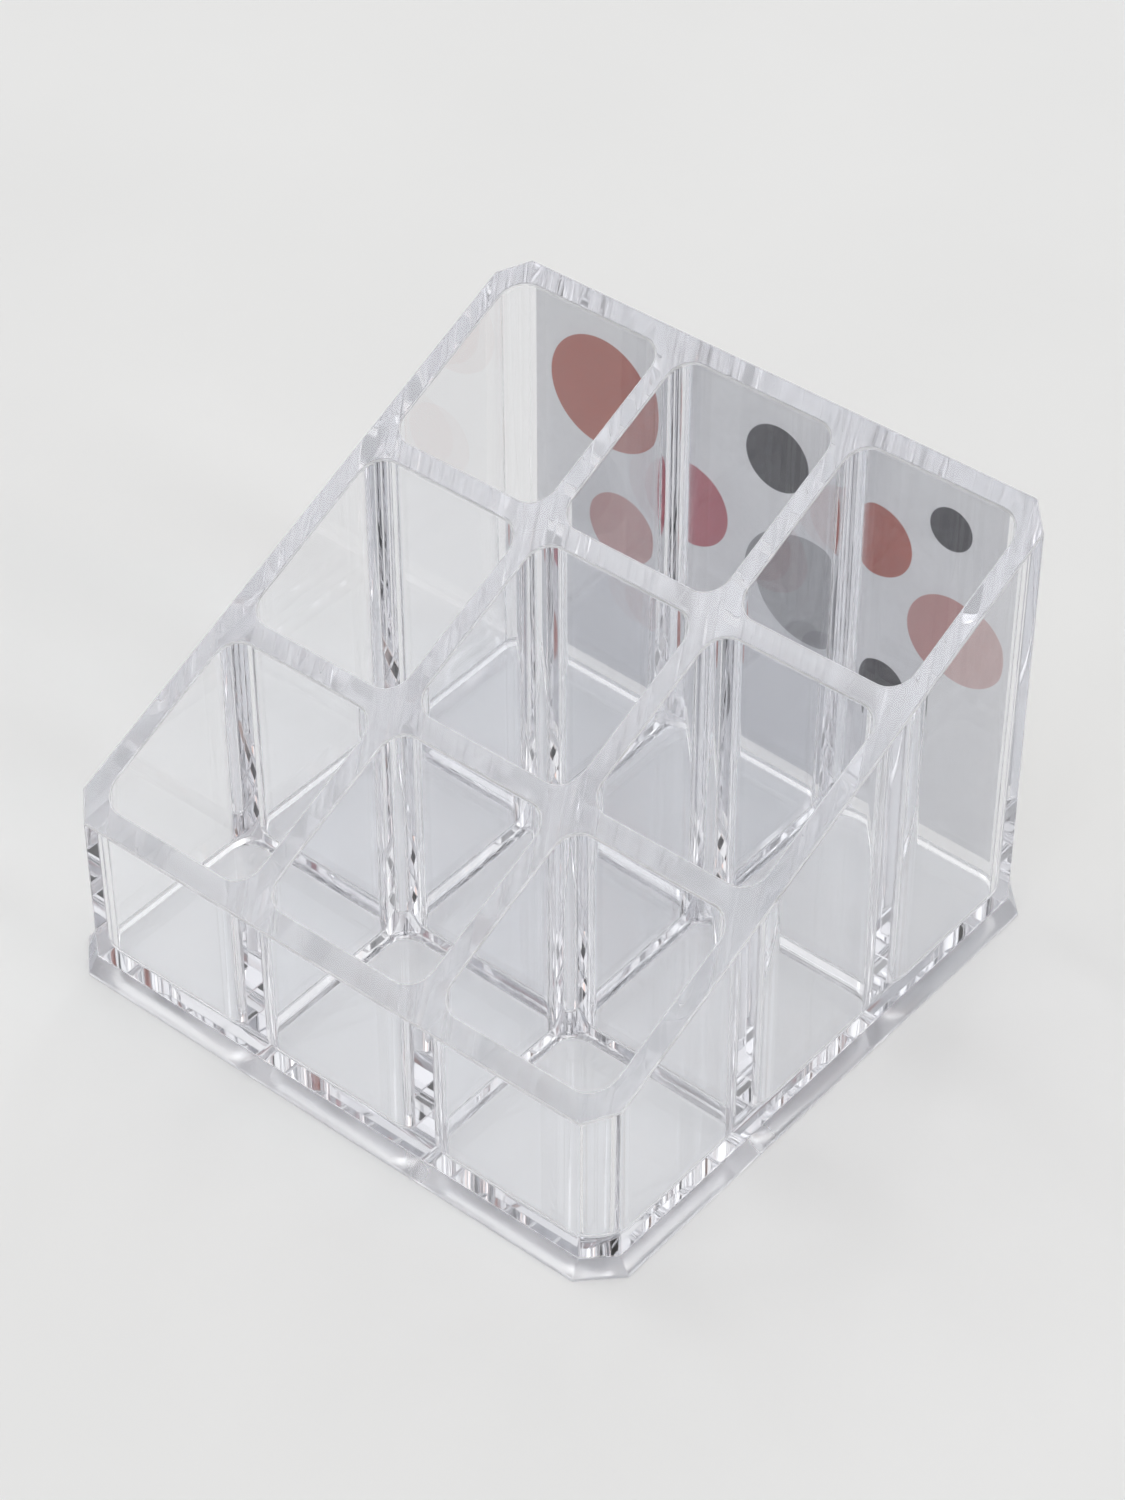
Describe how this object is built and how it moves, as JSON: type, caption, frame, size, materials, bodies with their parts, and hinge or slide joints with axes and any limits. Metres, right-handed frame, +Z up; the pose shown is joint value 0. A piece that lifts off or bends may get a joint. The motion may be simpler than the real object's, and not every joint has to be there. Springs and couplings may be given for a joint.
{
  "type": "lipstick organizer",
  "caption": "Clear moulded lipstick organizer: a grid of square pockets under a rim that slopes up to the back, on a bevelled foot, with a printed label on the back wall.",
  "frame": {"origin": "middle of the foot, on the surface that the organizer stands on", "axes": "+Z up, +X to the right seen from the low front, +Y from the low front to the tall back"},
  "size_m": [0.0904, 0.0904, 0.0645],
  "materials": {
    "clear_plastic": "clear polished polystyrene",
    "label_paper": "satin coated paper"
  },
  "bodies": {
    "root": {"moulded_tray": "clear_plastic", "back_label": "label_paper"}
  },
  "joints": []
}
